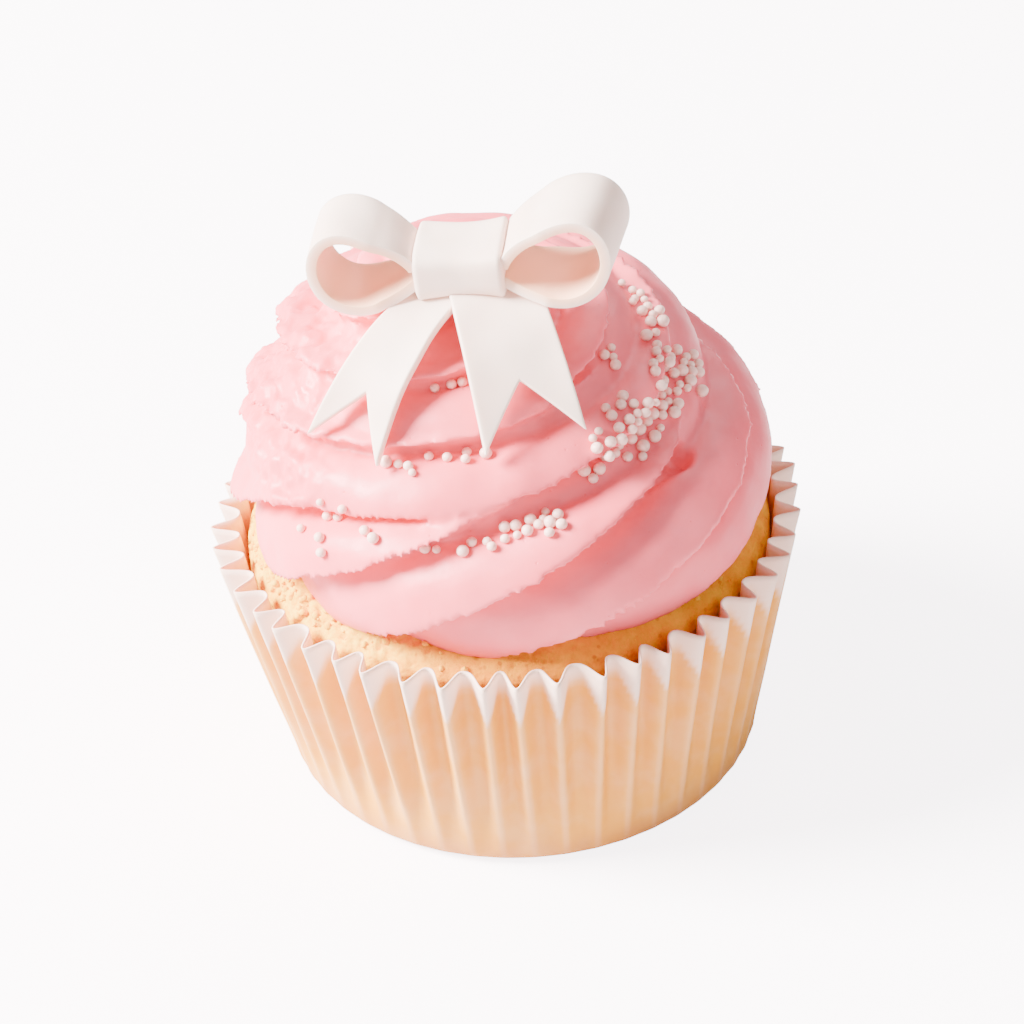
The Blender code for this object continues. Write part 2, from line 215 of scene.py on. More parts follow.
def add_object(name, mesh, look, attributes=None):
    work = bmesh.new()
    work.from_mesh(mesh)
    bmesh.ops.recalc_face_normals(work, faces=work.faces)
    work.to_mesh(mesh)
    work.free()
    mesh.shade_smooth()
    for key, values in (attributes or {}).items():
        layer = mesh.attributes.new(key, "FLOAT", "POINT")
        layer.data.foreach_set("value", np.asarray(values, np.float32))
    piece = bpy.data.objects.new(name, mesh)
    mesh.materials.append(look)
    bpy.context.scene.collection.objects.link(piece)
    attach(piece, BODY)
    return piece


# ---- Materials --------------------------------------------------------------------------------


class Look:
    """A Principled material with short calls for the nodes that feed it."""

    def __init__(self, name, roughness, subsurface=0.0, radius=(1, 1, 1), scale=0.001, specular=0.5):
        self.material = bpy.data.materials.new(name)
        self.material.use_nodes = True
        self.nodes = self.material.node_tree.nodes
        self.links = self.material.node_tree.links
        self.shader = self.nodes["Principled BSDF"]
        self.shader.inputs["Roughness"].default_value = roughness
        self.shader.inputs["Subsurface Weight"].default_value = subsurface
        self.shader.inputs["Subsurface Radius"].default_value = radius
        self.shader.inputs["Subsurface Scale"].default_value = scale
        self.shader.inputs["Specular IOR Level"].default_value = specular
        self.place = self.nodes.new("ShaderNodeTexCoord").outputs["Object"]

    def noise(self, size_mm, detail=3.0, roughness=0.5, distortion=0.0):
        node = self.nodes.new("ShaderNodeTexNoise")
        node.inputs["Scale"].default_value = 1.0 / (size_mm * MM)
        node.inputs["Detail"].default_value = detail
        node.inputs["Roughness"].default_value = roughness
        node.inputs["Distortion"].default_value = distortion
        self.links.new(self.place, node.inputs["Vector"])
        return node.outputs["Fac"]

    def cells(self, size_mm, feature="F1"):
        node = self.nodes.new("ShaderNodeTexVoronoi")
        node.feature = feature
        node.inputs["Scale"].default_value = 1.0 / (size_mm * MM)
        self.links.new(self.place, node.inputs["Vector"])
        return node.outputs["Distance"]

    def attribute(self, name):
        node = self.nodes.new("ShaderNodeAttribute")
        node.attribute_name = name
        return node.outputs["Fac"]

    def ramp(self, value, low, high, to_low=0.0, to_high=1.0):
        node = self.nodes.new("ShaderNodeMapRange")
        node.interpolation_type = "SMOOTHSTEP"
        for key, number in (("From Min", low), ("From Max", high), ("To Min", to_low), ("To Max", to_high)):
            node.inputs[key].default_value = number
        self.links.new(value, node.inputs["Value"])
        return node.outputs["Result"]

    def math(self, kind, a, b):
        node = self.nodes.new("ShaderNodeMath")
        node.operation = kind
        for socket, value in zip(node.inputs, (a, b)):
            if isinstance(value, (int, float)):
                socket.default_value = value
            else:
                self.links.new(value, socket)
        return node.outputs["Value"]

    def mix(self, amount, a, b):
        """Colour a where amount is 0, and b where it is 1."""
        node = self.nodes.new("ShaderNodeMix")
        node.data_type = "RGBA"
        self.links.new(amount, node.inputs[0])
        for socket, value in ((node.inputs[6], a), (node.inputs[7], b)):
            if isinstance(value, tuple):
                socket.default_value = (*value, 1.0)
            else:
                self.links.new(value, socket)
        return node.outputs[2]

    def color(self, value):
        self.links.new(value, self.shader.inputs["Base Color"])

    def vary_roughness(self, value):
        self.links.new(value, self.shader.inputs["Roughness"])

    def bump(self, *layers):
        """Layers of (height, strength, distance in mm), finest last."""
        normal = None
        for height, strength, distance in layers:
            node = self.nodes.new("ShaderNodeBump")
            node.inputs["Strength"].default_value = strength
            node.inputs["Distance"].default_value = distance * MM
            self.links.new(height, node.inputs["Height"])
            if normal is not None:
                self.links.new(normal, node.inputs["Normal"])
            normal = node.outputs["Normal"]
        self.links.new(normal, self.shader.inputs["Normal"])


def paper_look():
    look = Look("greaseproof_paper", 0.5, 0.15, (1.0, 0.8, 0.5), 0.0005, 0.22)
    white = look.mix(look.noise(5.0), (0.90, 0.60, 0.48), (0.94, 0.70, 0.60))
    gold = look.mix(look.noise(3.2, 4.0), (0.76, 0.30, 0.018), (0.83, 0.36, 0.035))
    patch = look.ramp(look.noise(4.5, 3.0, 0.5), 0.3, 0.65, 0.88, 1.0)
    # Gold where the paper touches the cake, white over the air gaps; the lighter line along each outward fold is a
    # painted highlight.
    body = look.mix(look.math("MULTIPLY", look.attribute("contact_and_fold_highlight"), patch), white, gold)
    foot = look.math("MULTIPLY", look.attribute("foot"), look.ramp(look.noise(2.6, 4.0), 0.25, 0.75, 0.4, 1.0))
    look.color(look.mix(foot, body, (0.58, 0.22, 0.07)))
    look.vary_roughness(look.ramp(look.noise(1.4), 0.2, 0.8, 0.42, 0.6))
    look.bump((look.noise(2.4, 3.0, 0.5), 0.14, 0.12), (look.noise(0.25, 3.0), 0.08, 0.03))
    return look.material


def sponge_look():
    look = Look("golden_sponge", 0.85, 0.1, (1.0, 0.75, 0.3), 0.0008, 0.12)
    tone = look.mix(look.ramp(look.noise(3.0, 6.0, 0.65), 0.3, 0.7), (0.78, 0.275, 0.003), (0.90, 0.41, 0.012))
    crumb = look.mix(look.ramp(look.noise(0.7, 5.0, 0.7), 0.35, 0.68), (0.90, 0.42, 0.018), (0.97, 0.62, 0.075))
    tone = look.mix(look.attribute("crumbly"), tone, crumb)
    # Dark spots at the pores: painted shade in the sponge's holes.
    shaded_pores = look.ramp(look.cells(1.3), 0.1, 0.24, 0.6, 0.0)
    look.color(look.mix(shaded_pores, tone, (0.52, 0.13, 0.005)))
    look.bump((look.noise(1.1, 6.0, 0.7), 0.7, 0.35), (look.noise(0.3, 4.0), 0.5, 0.1))
    return look.material


def buttercream_look():
    look = Look("pink_buttercream", 0.4, 0.35, (1.0, 0.35, 0.32), 0.0011, 0.42)
    tone = look.mix(look.ramp(look.noise(9.0, 3.0), 0.3, 0.7), (0.90, 0.125, 0.165), (0.94, 0.165, 0.205))
    # Darker red dots at small pits: painted shade in the air pits.
    shaded_pits = look.ramp(look.cells(1.9), 0.03, 0.075, 0.45, 0.0)
    look.color(look.mix(shaded_pits, tone, (0.80, 0.08, 0.09)))
    look.vary_roughness(look.ramp(look.noise(2.4, 4.0), 0.25, 0.75, 0.36, 0.52))
    look.bump(
        (look.noise(2.6, 5.0, 0.55), 0.22, 0.3),
        (look.ramp(look.cells(1.9), 0.02, 0.09), 0.5, 0.08),
        (look.noise(0.45, 3.0), 0.12, 0.05),
    )
    return look.material


def fondant_look():
    look = Look("white_fondant", 0.46, 0.3, (1.0, 0.85, 0.7), 0.0012, 0.4)
    tone = look.mix(look.ramp(look.noise(6.0, 3.0), 0.3, 0.7), (0.90, 0.66, 0.565), (0.94, 0.72, 0.63))
    # The inner faces of the loops get a darker, warmer tone: painted shade inside the loops.
    look.color(look.mix(look.attribute("loop_inside_shade"), tone, (0.93, 0.48, 0.27)))
    look.vary_roughness(look.ramp(look.noise(3.0, 4.0), 0.25, 0.75, 0.4, 0.55))
    look.bump((look.noise(3.0, 4.0), 0.12, 0.2), (look.noise(0.3, 3.0), 0.1, 0.03))
    return look.material


def sugar_look():
    look = Look("sugar_pearls", 0.38, 0.35, (1.0, 0.8, 0.75), 0.0005, 0.5)
    look.color(look.mix(look.noise(1.0), (0.90, 0.52, 0.45), (0.94, 0.62, 0.55)))
    look.bump((look.noise(0.3, 3.0), 0.2, 0.04), (look.noise(0.1, 2.0), 0.15, 0.01))
    return look.material


def floor_look():
    look = Look("pale_floor", 0.7, specular=0.2)
    look.color(look.mix(look.noise(80.0), (0.72, 0.66, 0.665), (0.74, 0.68, 0.685)))
    look.bump((look.noise(30.0), 0.02, 0.1), (look.noise(4.0), 0.02, 0.02))
    seen = look.nodes.new("ShaderNodeLightPath").outputs["Is Camera Ray"]
    look.links.new(look.math("MULTIPLY", seen, FLOOR_GLOW), look.shader.inputs["Emission Strength"])
    look.shader.inputs["Emission Color"].default_value = (1.0, 0.93, 0.97, 1.0)
    return look.material


# ---- Paper case -------------------------------------------------------------------------------


def case_radii(z):
    """Radii of the outward and inward folds of the paper at a height."""
    t = z / CASE_HEIGHT
    grow = min(1.0, t / FOLDS_FULL)
    fold_out = BASE_RADIUS + (RIM_FOLD_OUT - BASE_RADIUS) * t
    fold_in = BASE_RADIUS - 0.5 * MM * grow + (RIM_FOLD_IN + 0.5 * MM - BASE_RADIUS) * t
    if z < BASE_ROUNDING:
        tuck = BASE_ROUNDING - math.sqrt(max(0.0, BASE_ROUNDING**2 - (BASE_ROUNDING - z) ** 2))
        fold_out -= tuck
        fold_in -= tuck
    return fold_out, fold_in


def paper_case():
    """Fluted greaseproof paper: narrow outward folds, wide round inward ones, each a little different."""
    rng = random.Random(11)
    depth = [rng.uniform(0.84, 1.04) for _ in range(FLUTES)]
    sway = [rng.uniform(-0.11, 0.11) for _ in range(FLUTES)]
    rim = [rng.uniform(-0.25, 0.12) for _ in range(FLUTES)]
    count = FLUTES * CASE_COLUMNS
    heights = [BASE_ROUNDING * (1 - math.cos(math.pi / 2 * i / 5)) for i in range(5)]
    heights += [BASE_ROUNDING + (CASE_HEIGHT - BASE_ROUNDING) * (i / CASE_ROWS) ** 0.9 for i in range(CASE_ROWS + 1)]
    points, contact_and_fold_highlight, foot = [], [], []
    for z in heights:
        share = z / CASE_HEIGHT
        fold_out, fold_in = case_radii(z)
        for i in range(count):
            place = i / CASE_COLUMNS + 0.5
            flute = int(place) % FLUTES
            across = place - int(place) - 0.5
            across += sway[flute] * share * (1 - 4 * across * across)
            angle = FLUTE_TURN + 2 * math.pi * i / count
            fold = (0.5 + 0.5 * math.cos(2 * math.pi * across)) ** 1.3
            wave = noise.noise(Vector((math.cos(angle) * 9, math.sin(angle) * 9, share * 2.2)))
            swell = 1.0 - (1 - depth[flute]) * (1 - 4 * across * across)
            fluted = 0.3 + 0.7 * step(0.03, 0.4, share)
            fold_share = fold * swell * fluted + 0.75 * (1 - fluted)
            radius = fold_in + (fold_out - fold_in) * fold_share + 0.16 * MM * wave * share
            lift = rim[flute] * MM * step(0.9, 1.0, share) * fold
            points.append(
                (RIM_CENTRE_X * share + radius * math.cos(angle), radius * math.sin(angle), z + lift)
            )
            below_rim = (CASE_HEIGHT - z) / MM
            wide = 0.17 + 0.45 * step(1.0, 8.0, below_rim) + 0.05 * wave
            inward = 0.5 - abs(across)
            touch = step(wide + 0.05, wide - 0.06, inward) * step(0.8, 3.2, below_rim + 0.8 * wave)
            # Slightly less gold along each outward fold: a painted highlight line down the ridge.
            contact_and_fold_highlight.append(touch * (1 - 0.16 * step(0.16, 0.03, abs(across))))
            foot.append(step(5.0 + 2.0 * wave, 0.3, z / MM) * 0.8)
    points.append((0.0, 0.0, 0.0))
    contact_and_fold_highlight.append(0.5)
    foot.append(0.8)
    faces = grid_faces(len(heights), count) + fan(0, count, len(points) - 1, True)
    piece = add_piece("fluted_case", points, faces, paper_look(), {"contact_and_fold_highlight": contact_and_fold_highlight, "foot": foot})
    shell = piece.modifiers.new("Sheet", "SOLIDIFY")
    shell.thickness = PAPER
    shell.offset = -1.0
    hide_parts("paper_case")
    return piece


# ---- Sponge -----------------------------------------------------------------------------------


def sponge_edge_radius():
    return case_radii(SPONGE_EDGE_Z)[1] - 0.45 * MM


def sponge_top(radius):
    """Height of the sponge's domed top at a radius."""
    share = min(1.0, radius / sponge_edge_radius())
    return SPONGE_EDGE_Z + SPONGE_RISE * math.sqrt(1 - share**SPONGE_SHOULDER)


def crumbliness(angle):
    """How torn the crust is: most at the back left, where the swirl has pulled at it."""
    degrees = math.degrees(angle) % 360
    return max(step(150, 178, degrees) * step(262, 232, degrees), 0.35 * step(60, 90, degrees) * step(140, 110, degrees))


def sponge_cake():
    edge = sponge_edge_radius()
    profile = [(23.2 * MM, SPONGE_LOW[2]), (24.2 * MM, 1.6 * MM)]
    profile += [(case_radii(z * MM)[1] - 0.45 * MM, z * MM) for z in (6, 14, 20)]
    profile += [(edge - 0.02 * MM * i, SPONGE_EDGE_Z - (3 - i) * 0.8 * MM) for i in range(4)]
    for i in range(1, 46):
        share = math.sin(math.pi / 2 * (1 - i / 46)) ** 0.42
        profile.append((edge * share, sponge_top(edge * share)))
    points, torn = [], []
    for level, (radius, z) in enumerate(profile):
        shift = RIM_CENTRE_X * z / CASE_HEIGHT
        for i in range(SPONGE_COLUMNS):
            angle = 2 * math.pi * i / SPONGE_COLUMNS
            c, s = math.cos(angle), math.sin(angle)
            place = Vector((radius * c, radius * s, z))
            rough = crumbliness(angle)
            torn.append(rough)
            if level > 6:
                bump = noise.fractal(place * 900, 0.6, 2.0, 5)
                broad = noise.noise(place * 180)
                pit = max(0.0, noise.noise(place * 1500 + Vector((7, 3, 1))) - 0.32)
                amount = (0.10 + 0.42 * rough) * bump + 0.35 * broad - (0.9 + 1.4 * rough) * pit
                out = Vector((c, s, 0)) * 0.35 + Vector((0, 0, 1)) * 0.9
                near_paper = step(edge / MM, edge / MM - 0.8, radius / MM)
                place += out * amount * MM * (0.25 + 0.75 * near_paper)
                place.x -= c * 0.18 * MM * (1 - near_paper) * abs(bump)
            points.append((place.x + shift, place.y, place.z))
    rows = len(profile)
    points += [(0.0, 0.0, SPONGE_LOW[2]), (RIM_CENTRE_X, 0.0, sponge_top(0.0))]
    torn += [0.0, 0.0]
    faces = grid_faces(rows, SPONGE_COLUMNS)
    faces += fan(0, SPONGE_COLUMNS, len(points) - 2, True)
    faces += fan((rows - 1) * SPONGE_COLUMNS, SPONGE_COLUMNS, len(points) - 1, False)
    piece = add_piece("sponge_cake", points, faces, sponge_look(), {"crumbly": torn})
    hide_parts("sponge")
    return piece


def crumbs():
    """Loose crumbs along the torn side of the sponge."""
    rng = random.Random(5)
    work = bmesh.new()
    for _ in range(100):
        angle = math.radians(rng.gauss(206, 17) if rng.random() < 0.8 else rng.uniform(100, 330))
        radius = rng.uniform(25.3, 27.1) * MM
        size = rng.uniform(0.14, 0.42) * MM
        seat = Vector((
            radius * math.cos(angle) + RIM_CENTRE_X, radius * math.sin(angle), sponge_top(radius) + 0.3 * size
        ))
        made = bmesh.ops.create_icosphere(work, subdivisions=2, radius=size)
        for vert in made["verts"]:
            vert.co *= 1 + 0.45 * noise.noise(vert.co * 3000 + seat * 5000)
            vert.co += seat
    mesh = bpy.data.meshes.new("crumbs")
    work.to_mesh(mesh)
    work.free()
    return add_object("crumbs", mesh, bpy.data.materials["golden_sponge"], {"crumbly": [1.0] * len(mesh.vertices)})


# ---- Buttercream swirl --------------------------------------------------------------------------


def tooth_fall(along):
    """How far the rope's surface falls from a crest (0) to the groove under the next crest (1)."""
    petal = np.clip(along / 0.86, 0, 1) ** 1.25
    under = np.clip((1 - along) / 0.14, 0, 1) ** 0.8
    return np.where(along < 0.86, petal, under)


def rope_points():
    """Points of the piped rope: rows along its path, columns that stay on its teeth as it twists."""
    turns = np.arange(ROPE_PATH[0][0], ROPE_PATH[-1][0] + 0.1, PATH_STEP)
    path_radius, rope_radius, height, lean = (through(ROPE_PATH, turns) * MM).T[:, :, None]
    twist = 2 * math.pi / TEETH * through(TOOTH_PHASE, turns)[:, :1]
    spread = np.array([0, 0.015, 0.035, 0.07, 0.12, 0.2, 0.3, 0.4, 0.5, 0.6, 0.7, 0.78, 0.86, 0.91, 0.955, 0.985])
    along = np.tile(spread, TEETH)[None, :]
    tooth = np.repeat(np.arange(TEETH), len(spread))[None, :]
    fall = tooth_fall(along)
    angle = twist + 2 * math.pi * (tooth + along) / TEETH - TOOTH_LEAN * (1 - fall) ** 3
    length = np.cumsum(np.full(turns.shape, math.radians(PATH_STEP)))[:, None] * (path_radius + rope_radius)
    crest = np.exp(-((np.minimum(along, 1 - along) / 0.035) ** 2))
    saw = np.abs((length / (1.15 * MM) + tooth * 0.37) % 1.0 - 0.5) * 2
    wave = np.sin(length / (5.2 * MM) + tooth * 2.1) + 0.6 * np.sin(length / (2.9 * MM) + tooth * 4.0)
    radius = rope_radius * (1 - TOOTH_DEPTH * fall)
    turn = np.radians(turns)[:, None]
    jagged = 0.12 + 0.4 * np.clip(np.cos(turn - SERRATED_SIDE), 0, 1)
    radius = radius - crest * saw * jagged * MM + crest * wave * 0.14 * MM
    x = lean + (path_radius + radius * np.cos(angle)) * np.cos(turn)
    y = (path_radius + radius * np.cos(angle)) * np.sin(turn)
    z = height + radius * np.sin(angle)
    return np.stack([x, y, z], -1)


def tear(place):
    """Ragged, torn buttercream on the upper left, where the nozzle dragged."""
    angle = math.degrees(math.atan2(place.y, place.x + 4 * MM)) % 360
    side = step(135, 165, angle) * step(238, 212, angle)
    high = step(39, 42, place.z / MM) * step(58, 55, place.z / MM)
    return side * high


def pocket_depth(place):
    """How deep the folds of buttercream leave a gap at a place."""
    depth = 0.0
    for start, end, radius, deepest in POCKETS:
        start, end = Vector(start) * MM, Vector(end) * MM
        along = min(1.0, max(0.0, (place - start).dot(end - start) / (end - start).length_squared))
        gap = (place - start.lerp(end, along)).length
        reach = radius * MM * (1 - 0.6 * along)
        depth += deepest * MM * (1 - 0.75 * along) * step(reach, 0.2 * reach, gap)
    return depth


def core_points():
    rings = []
    for height, radius, shift in CORE:
        ring = [(shift + radius * math.cos(a), radius * math.sin(a), height) for a in np.linspace(0, 2 * math.pi, 25)[:-1]]
        rings.append(np.array(ring) * MM)
    return np.array(rings)


def add_tube(work, rings, ends):
    rows = [[work.verts.new(Vector(p)) for p in ring] for ring in rings]
    count = len(rows[0])
    for low, high in zip(rows, rows[1:]):
        for i in range(count):
            j = (i + 1) % count
            work.faces.new((low[i], low[j], high[j], high[i]))
    for row, end in zip((rows[0], rows[-1]), ends):
        tip = work.verts.new(end)
        for i in range(count):
            work.faces.new((row[i], row[(i + 1) % count], tip))


def rough_swirl():
    work = bmesh.new()
    rope = rope_points()
    add_tube(work, rope, (Vector(rope[0].mean(axis=0)) + ROPE_START, PEAK))
    low, high = CORE[0], CORE[-1]
    add_tube(work, core_points(), (Vector((low[2], 0, low[0])) * MM, Vector((high[2], 0, high[0] + 1)) * MM))
    bmesh.ops.recalc_face_normals(work, faces=work.faces)
    mesh = bpy.data.meshes.new("rope")
    work.to_mesh(mesh)
    work.free()
    return mesh


def united(mesh):
    """The overlapping turns as one skin."""
    item = bpy.data.objects.new("swirl_skin", mesh)
    bpy.context.scene.collection.objects.link(item)
    remesh = item.modifiers.new("Union", "REMESH")
    remesh.mode = "VOXEL"
    remesh.voxel_size = SWIRL_VOXEL
    ease = item.modifiers.new("Ease", "SMOOTH")
    ease.factor = 0.5
    ease.iterations = 2
    bpy.context.view_layer.update()
    graph = bpy.context.evaluated_depsgraph_get()
    skin = bpy.data.meshes.new_from_object(item.evaluated_get(graph))
    bpy.data.objects.remove(item, do_unlink=True)
    return skin


def keep_largest(mesh):
    work = bmesh.new()
    work.from_mesh(mesh)
    left, bodies = set(work.verts), []
    while left:
        body, front = set(), [left.pop()]
        while front:
            vert = front.pop()
            body.add(vert)
            for edge in vert.link_edges:
                other = edge.other_vert(vert)
                if other in left:
                    left.remove(other)
                    front.append(other)
        bodies.append(body)
    bodies.sort(key=len)
    bmesh.ops.delete(work, geom=[vert for body in bodies[:-1] for vert in body], context="VERTS")
    work.to_mesh(mesh)
    work.free()


def bow_tree(pieces):
    points, faces = [], []
    graph = bpy.context.evaluated_depsgraph_get()
    for piece in pieces:
        mesh = piece.evaluated_get(graph).to_mesh()
        first = len(points)
        points += [vert.co.copy() for vert in mesh.vertices]
        faces += [[first + i for i in polygon.vertices] for polygon in mesh.polygons]
        piece.evaluated_get(graph).to_mesh_clear()
    return BVHTree.FromPolygons(points, faces)


def pressed_height(point, tree):
    """The greatest height that stays under the bow."""
    height = point.z
    for dx, dy in ((0, 0), (0.4, 0), (-0.4, 0), (0, 0.4), (0, -0.4)):
        foot = Vector((point.x + dx * MM, point.y + dy * MM, CASE_HEIGHT))
        place = tree.ray_cast(foot, Vector((0, 0, 1)))[0]
        if place is not None:
            height = min(height, place.z - 0.12 * MM)
    return height


def buttercream(bow):
    skin = united(rough_swirl())
    keep_largest(skin)
    tree = bow_tree(bow)
    normals = [vert.normal.copy() for vert in skin.vertices]
    places = [vert.co.copy() for vert in skin.vertices]
    for place, normal in zip(places, normals):
        rough = tear(place)
        place += noise.noise_vector(place * 260) * 0.28 * MM
        if rough > 0:
            place += normal * rough * MM * 0.75 * noise.fractal(place * 380, 0.8, 2.1, 3)
            place += noise.noise_vector(place * 900) * rough * 0.15 * MM
        place -= normal * pocket_depth(place)
        place.z -= 0.38 * max(0.0, place.z - 55 * MM) * step(-8.5, -5.5, place.x / MM)
        if place.z > CASE_HEIGHT + PRESSED_ABOVE:
            place.z = pressed_height(place, tree)
        radius = math.hypot(place.x - RIM_CENTRE_X, place.y)
        place.z = max(place.z, sponge_top(radius) - 0.1 * MM)
    skin.vertices.foreach_set("co", [value for place in places for value in place])
    skin.update()
    piece = add_object("piped_swirl", skin, buttercream_look())
    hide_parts("buttercream_swirl")
    return piece


# ---- Fondant bow --------------------------------------------------------------------------------


def bow_place(x, y, z):
    """A point of the bow's own frame, in millimetres from its centre, in the row's frame."""
    c, s = math.cos(BOW_ROLL), math.sin(BOW_ROLL)
    x, z = x * c - z * s, x * s + z * c
    c, s = math.cos(BOW_TURN), math.sin(BOW_TURN)
    return BOW_CENTRE + Vector((x * c - y * s, x * s + y * c, z)) * MM


def rounded(piece, width, segments=3):
    """Soft edges, as rolled fondant has."""
    bevel = piece.modifiers.new("Soft edges", "BEVEL")
    bevel.width = width
    bevel.segments = segments
    bevel.limit_method = "ANGLE"
    bevel.angle_limit = math.radians(50)
    return piece


def bow_loop(name, side, length, height, lift, splay, back, look):
    stations, columns = 90, 8
    line = []
    for i in range(stations + 1):
        t = 2 * math.pi * i / stations
        x = length * 0.5 * (1 - math.cos(t))
        z = height * 0.5 * math.sin(t) * max(0.0, math.sin(t / 2)) ** 0.7 + lift * (x / length) ** 0.6
        line.append(Vector((side * x, z)))
    start = side * (KNOT_WIDTH / MM / 2 - 0.1)
    half, thick = RIBBON / MM / 2, FONDANT / MM
    points, loop_inside_shade = [], []
    for i, spot in enumerate(line):
        along = (line[min(i + 1, stations)] - line[max(i - 1, 0)]).normalized()
        normal = Vector((-along.y, along.x)) * (side * thick / 2)
        spread = abs(spot.x) / length
        narrow = half * (0.72 + 0.28 * min(1.0, spread * 2.5))
        layer = 0.72 if i < stations / 2 else -0.72
        pinch = (1 - min(1.0, spread * 3)) * layer
        for face in (1, -1):
            for j in range(columns + 1):
                across = 2 * j / columns - 1
                depth = narrow * across * face
                depth *= back / half if depth > 0 else 1.0
                sag = 0.22 * noise.noise(Vector((spot.x * 0.25, depth * 0.2, side * 3.0)))
                lean = splay * spread * (depth + half)
                offset = normal * face
                points.append(bow_place(start + spot.x + offset.x + lean, depth, spot.y + pinch + offset.y + sag))
                # Inner faces of the loop are marked for painted shade.
                loop_inside_shade.append(0.75 if face == -1 else 0.0)
    ring = 2 * (columns + 1)
    faces = grid_faces(stations + 1, ring)
    for base in (0, stations * ring):
        for j in range(columns):
            a, b = base + j, base + ring - 1 - j
            faces.append((a, a + 1, b - 1, b))
    piece = add_piece(name, points, faces, look, {"loop_inside_shade": loop_inside_shade})
    return rounded(piece, 0.36 * MM)


def bow_knot(look):
    """A band round the bow's middle: rounded, a little waisted, with a soft crease across."""
    half_w, half_h, half_d = KNOT_WIDTH / MM / 2, KNOT_HEIGHT / MM / 2, RIBBON / MM / 2 - 0.4
    rows, columns = 40, 72
    points = []
    for i in range(rows + 1):
        share = 2 * i / rows - 1
        edge = max(0.0, (abs(share) - 0.88) / 0.12)
        ease = 0.6 * (1 - math.sqrt(max(0.0, 1 - edge * edge)))
        waist = 0.45 * (1 - share * share)
        for j in range(columns):
            angle = 2 * math.pi * (j + 0.5) / columns
            c, s = math.cos(angle), math.sin(angle)
            y = math.copysign(abs(c) ** 0.42, c) * (half_d - ease - waist * 0.6)
            z = math.copysign(abs(s) ** 0.5, s) * (half_h - ease - waist)
            crease = 0.16 * noise.noise(Vector((share * 1.6, y * 0.35, z * 0.35)))
            points.append(bow_place(share * half_w, y * (1 + 0.1 * crease), z + crease))
    faces = grid_faces(rows + 1, columns)
    points += [bow_place(-half_w, 0, 0), bow_place(half_w, 0, 0)]
    faces += fan(0, columns, len(points) - 2, True) + fan(rows * columns, columns, len(points) - 1, False)
    return add_piece("fondant_knot", points, faces, look, {"loop_inside_shade": [0.0] * len(points)})


def tail_place(drape, t, across, angles, bank, half):
    a, b, c = drape
    centre = a * (1 - t) ** 2 + b * 2 * t * (1 - t) + c * t * t
    along = ((b - a) * (1 - t) + (c - b) * t).normalized()
    angle = angles[0] + (angles[1] - angles[0]) * t
    side = Vector((math.cos(angle), math.sin(angle), 0.12 * math.sin(angle) + bank * t))
    side = (side - along * side.dot(along)).normalized()
    up = side.cross(along).normalized()
    return centre + side * half * across, -up if up.z < 0 else up


def bow_tail(name, drape_points, widths, notch, turns, bank, look):
    """A ribbon end that drapes down the swirl and ends in a swallowtail."""
    stations, columns = 40, 20
    drape = tuple(Vector(p) * MM for p in drape_points)
    angles = tuple(math.radians(turn) for turn in turns)
    points = []
    for i in range(stations + 1):
        for layer in (1, -1):
            for j in range(columns + 1):
                across = (2 * j / columns - 1) * layer
                t = i / stations * (1 - notch * (1 - abs(across)))
                half = (widths[0] + (widths[1] - widths[0]) * t) * MM / 2
                place, up = tail_place(drape, t, across, angles, bank, half)
                curl = 0.35 * MM * across * across * t + 0.3 * MM * noise.noise(place * 200)
                points.append(place + up * (layer * FONDANT / 2 + curl))
    ring = 2 * (columns + 1)
    faces = grid_faces(stations + 1, ring)
    for base in (0, stations * ring):
        for j in range(columns):
            a, b = base + j, base + ring - 1 - j
            faces.append((a, a + 1, b - 1, b))
    piece = add_piece(name, points, faces, look, {"loop_inside_shade": [0.0] * len(points)})
    return rounded(piece, 0.34 * MM)


def bow():
    look = fondant_look()
    pieces = [bow_knot(look)]
    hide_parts("bow_knot")
    for side, sizes in LOOPS.items():
        piece = bow_loop("fondant_loop_" + side, *sizes, look)
        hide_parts("bow_loop_" + side)
        pieces.append(piece)
    for side, sizes in TAILS.items():
        piece = bow_tail("fondant_tail_" + side, *sizes, look)
        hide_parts("bow_tail_" + side)
        pieces.append(piece)
    return pieces


# ---- Sprinkles ----------------------------------------------------------------------------------


def swirl_radius(height_mm):
    """Radius of the swirl's outside at a height, in millimetres, from its stacked turns."""
    outline = ((28, 26), (33, 28.6), (39, 27.8), (43, 25.2), (46, 22.6), (49, 19.8), (52, 16.8), (55, 13.8), (58, 10.5), (61, 6))
    return float(np.interp(height_mm, [o[0] for o in outline], [o[1] for o in outline]))


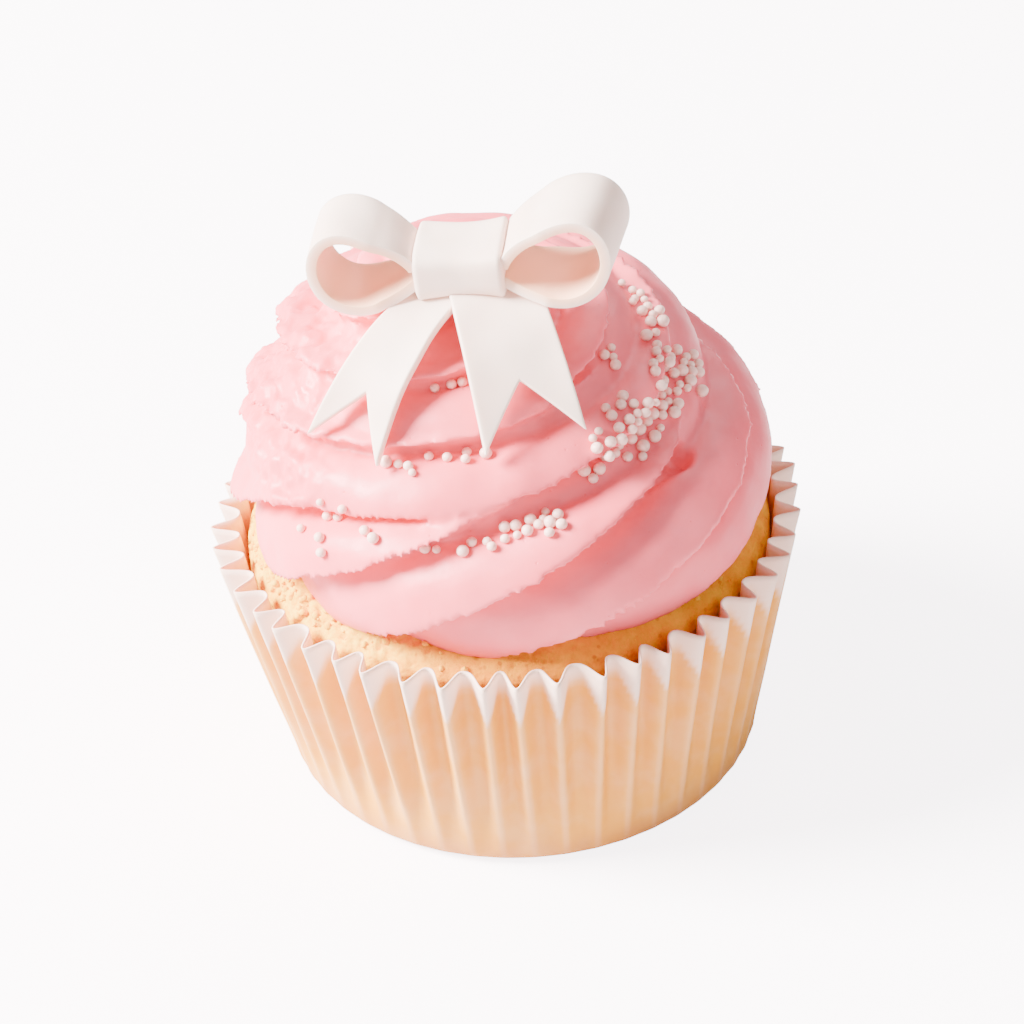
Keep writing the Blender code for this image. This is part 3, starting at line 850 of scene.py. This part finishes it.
def sprinkles(swirl, bow_pieces):
    """Sugar pearls, dropped onto the swirl from the front and above in loose clusters."""
    rng = random.Random(23)
    tree = bow_tree([swirl])
    bow_faces = bow_tree(bow_pieces)
    seats = []
    for turn, height, turn_spread, height_spread, count in CLUSTERS:
        for _ in range(count):
            for _ in range(30):
                angle = math.radians(rng.gauss(turn, turn_spread * 0.75))
                high = rng.gauss(height, height_spread * 0.75)
                reach = swirl_radius(high) * MM
                lean = float(np.interp(high, (36, 43, 49, 55, 61), (-0.8, -2.6, -4.2, -5.5, -7.5))) * MM
                target = Vector((lean + reach * math.cos(angle), reach * math.sin(angle), high * MM))
                back = Vector((0, -0.81, 0.585)) if target.y < 6 * MM else Vector((math.cos(angle), math.sin(angle), 1)).normalized()
                place, normal, _, _ = tree.ray_cast(target + back * 20 * MM, -back)
                blocked = bow_faces.ray_cast(target + back * 20 * MM, -back, 20 * MM)[0]
                size = rng.uniform(*SPRINKLE_RADII) * MM
                if place is None or blocked is not None or (place - target).length > 5 * MM:
                    continue
                seat = place + normal * size * 0.72
                if all((seat - other).length > (size + radius) * 0.93 for other, radius in seats):
                    seats.append((seat, size))
                    break
    work = bmesh.new()
    for seat, size in seats:
        made = bmesh.ops.create_icosphere(work, subdivisions=3, radius=size)
        squash = rng.uniform(0.9, 1.0)
        for vert in made["verts"]:
            vert.co *= 1 + 0.06 * noise.noise(vert.co * 1200 + seat * 3000)
            vert.co = Vector((vert.co.x, vert.co.y, vert.co.z * squash)) + seat
    mesh = bpy.data.meshes.new("sugar_pearls")
    work.to_mesh(mesh)
    work.free()
    return add_object("sugar_pearls", mesh, sugar_look())


# ---- Floor, light and camera ----------------------------------------------------------------------


def floor():
    size = 3.0
    mesh = bpy.data.meshes.new("floor")
    z = CAD_BOX[0][2] - 0.0001
    mesh.from_pydata([(-size, -size, z), (size, -size, z), (size, size, z), (-size, size, z)], [], [(0, 1, 2, 3)])
    mesh.materials.append(floor_look())
    item = bpy.data.objects.new("floor", mesh)
    bpy.context.scene.collection.objects.link(item)


def area_light(name, place, target, size, power, color):
    data = bpy.data.lights.new(name, "AREA")
    data.shape = "DISK"
    data.size = size
    data.energy = power
    data.color = color
    item = bpy.data.objects.new(name, data)
    item.location = place
    item.rotation_euler = (Vector(place) - Vector(target)).to_track_quat("Z", "Y").to_euler()
    bpy.context.scene.collection.objects.link(item)


def lights():
    middle = (0.0, 0.0, 0.04)
    area_light("key", (-0.68, -0.04, 0.60), middle, 0.42, 84.0, (1.0, 0.985, 0.96))
    area_light("fill", (0.5, -0.55, 0.5), middle, 0.7, 3.5, (1.0, 0.98, 0.98))
    area_light("back", (0.25, 0.6, 0.7), middle, 0.6, 4.0, (1.0, 1.0, 1.0))
    world = bpy.data.worlds.new("studio")
    world.use_nodes = True
    background = world.node_tree.nodes["Background"]
    background.inputs["Color"].default_value = (1.0, 0.99, 0.985, 1.0)
    background.inputs["Strength"].default_value = 0.45
    bpy.context.scene.world = world


def camera():
    """Looks down at the middle of the case's rim from the front, with a slight roll."""
    elevation, roll, distance = math.radians(35.74), math.radians(-3.55), 0.42
    target = Vector((-0.0001, 0.0, CASE_HEIGHT * 0.9707))
    back = Vector((0.0, -math.cos(elevation), math.sin(elevation)))
    right = Vector((1.0, 0.0, 0.0))
    up = back.cross(right)
    across = right * math.cos(roll) + up * math.sin(roll)
    upward = up * math.cos(roll) - right * math.sin(roll)
    data = bpy.data.cameras.new("camera")
    data.sensor_width = 36.0
    data.lens = 140.3
    data.clip_start = 0.01
    item = bpy.data.objects.new("camera", data)
    turn = Matrix((across, upward, back)).transposed().to_4x4()
    item.matrix_world = Matrix.Translation(target + back * distance) @ turn
    bpy.context.scene.collection.objects.link(item)
    bpy.context.scene.camera = item


def main():
    camera()
    floor()
    lights()
    paper_case()
    sponge_cake()
    crumbs()
    bow_pieces = bow()
    swirl = buttercream(bow_pieces)
    sprinkles(swirl, bow_pieces)


main()
bpy.context.view_layer.update()
